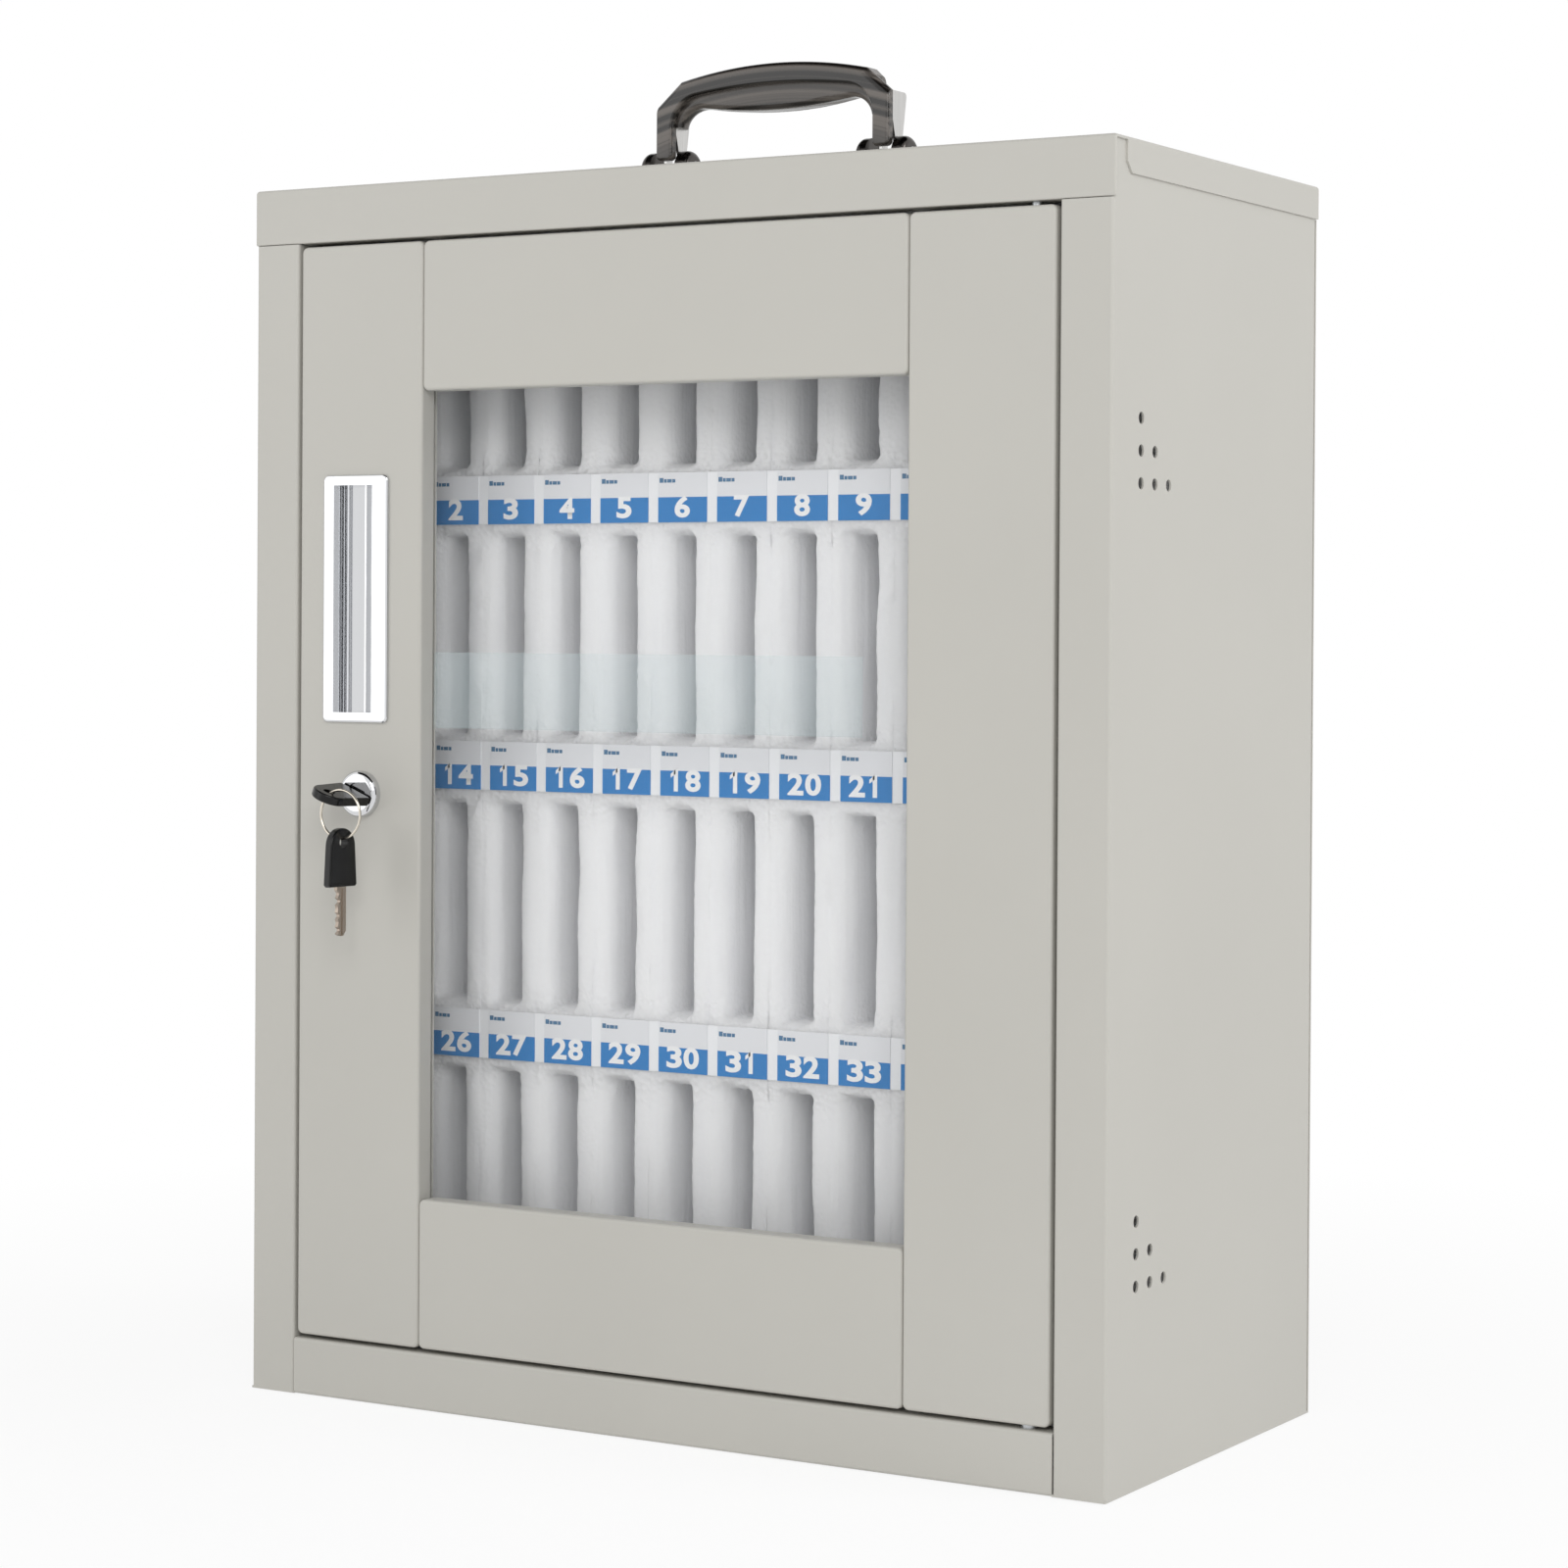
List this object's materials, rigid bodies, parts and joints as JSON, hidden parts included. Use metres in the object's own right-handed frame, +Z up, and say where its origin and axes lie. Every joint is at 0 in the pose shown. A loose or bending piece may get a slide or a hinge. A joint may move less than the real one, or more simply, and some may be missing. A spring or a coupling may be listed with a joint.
{
  "type": "phone locker box",
  "caption": "Sheet steel phone cabinet with a hinged glazed door, a foam insert of numbered upright slots, a cam lock with keys and a folding carry handle.",
  "frame": {"origin": "centre of the underside, on the surface the box stands on", "axes": "+X to the right seen from the front, +Y from the front into the cabinet, +Z up"},
  "size_m": [0.476, 0.2652, 0.6615],
  "materials": {
    "powder_coat": "satin",
    "foam": "matte",
    "label_strip": "matte",
    "label_card": "satin",
    "zinc_steel": "satin",
    "chrome": "polished",
    "nickel": "polished",
    "grip_plastic": "satin",
    "key_plastic": "satin",
    "pane": "gloss",
    "film": "gloss"
  },
  "bodies": {
    "cabinet": {"top_cap": "powder_coat", "bottom_pan": "powder_coat", "side_panel_left": "powder_coat", "side_panel_right": "powder_coat", "back_panel": "powder_coat", "hinge_pin_top": "zinc_steel", "hinge_pin_bottom": "zinc_steel", "foam_layer_1": "foam", "foam_layer_2": "foam", "foam_layer_3": "foam", "foam_layer_4": "foam", "foam_layer_5": "foam", "foam_back": "foam", "foam_dividers_row_1": "foam", "foam_dividers_row_2": "foam", "foam_dividers_row_3": "foam", "foam_dividers_row_4": "foam", "label_strip_row_1": "label_strip", "label_strip_row_2": "label_strip", "label_strip_row_3": "label_strip", "label_strip_row_4": "label_strip", "label_cards_row_1": "label_card", "label_cards_row_2": "label_card", "label_cards_row_3": "label_card", "label_cards_row_4": "label_card", "handle_bracket_left": "chrome", "handle_bracket_right": "chrome", "handle_pin_left": "chrome", "handle_pin_right": "chrome", "handle_rivets": "chrome"},
    "carry_handle": {"handle_grip": "grip_plastic", "handle_strap_left": "chrome", "handle_strap_right": "chrome"},
    "door": {"door_stile_left": "powder_coat", "door_stile_right": "powder_coat", "door_rail_top": "powder_coat", "door_rail_bottom": "powder_coat", "window_pane": "pane", "window_film": "film", "pane_holder_left": "powder_coat", "pane_holder_right": "powder_coat", "pane_holder_top": "powder_coat", "pane_holder_bottom": "powder_coat", "flush_pull": "chrome", "lock_body": "chrome", "lock_nut": "zinc_steel"},
    "lock_core": {"lock_plug": "chrome", "lock_cam": "zinc_steel", "cam_screw": "zinc_steel"},
    "key": {"key_head": "key_plastic", "key_blade": "nickel"},
    "ring": {"key_ring": "nickel"},
    "spare_key": {"spare_key_head": "key_plastic", "spare_key_blade": "nickel"}
  },
  "joints": [
    {"name": "door_swing", "type": "hinge", "parent": "cabinet", "child": "door", "pos_m": [0.1963, -0.107, 0.3], "axis": [0, 0, 1], "range_deg": [0, 115]},
    {"name": "lock_turn", "type": "hinge", "parent": "door", "child": "lock_core", "pos_m": [-0.1704, -0.114, 0.3], "axis": [0, 1, 0], "range_deg": [-22, 68]},
    {"name": "key_slide", "type": "slide", "parent": "lock_core", "child": "key", "axis": [0, -1, 0], "range_m": [0, 0.027]},
    {"name": "ring_swing", "type": "hinge", "parent": "key", "child": "ring", "pos_m": [-0.1704, -0.1411, 0.3], "axis": [0.3746, 0, 0.9272], "range_deg": [-25, 25]},
    {"name": "spare_swing", "type": "hinge", "parent": "ring", "child": "spare_key", "pos_m": [-0.1626, -0.1411, 0.27935], "axis": [1, 0, 0], "range_deg": [-60, 25]},
    {"name": "handle_fold", "type": "hinge", "parent": "cabinet", "child": "carry_handle", "pos_m": [0, 0, 0.6125], "axis": [1, 0, 0], "range_deg": [-80, 80]}
  ]
}
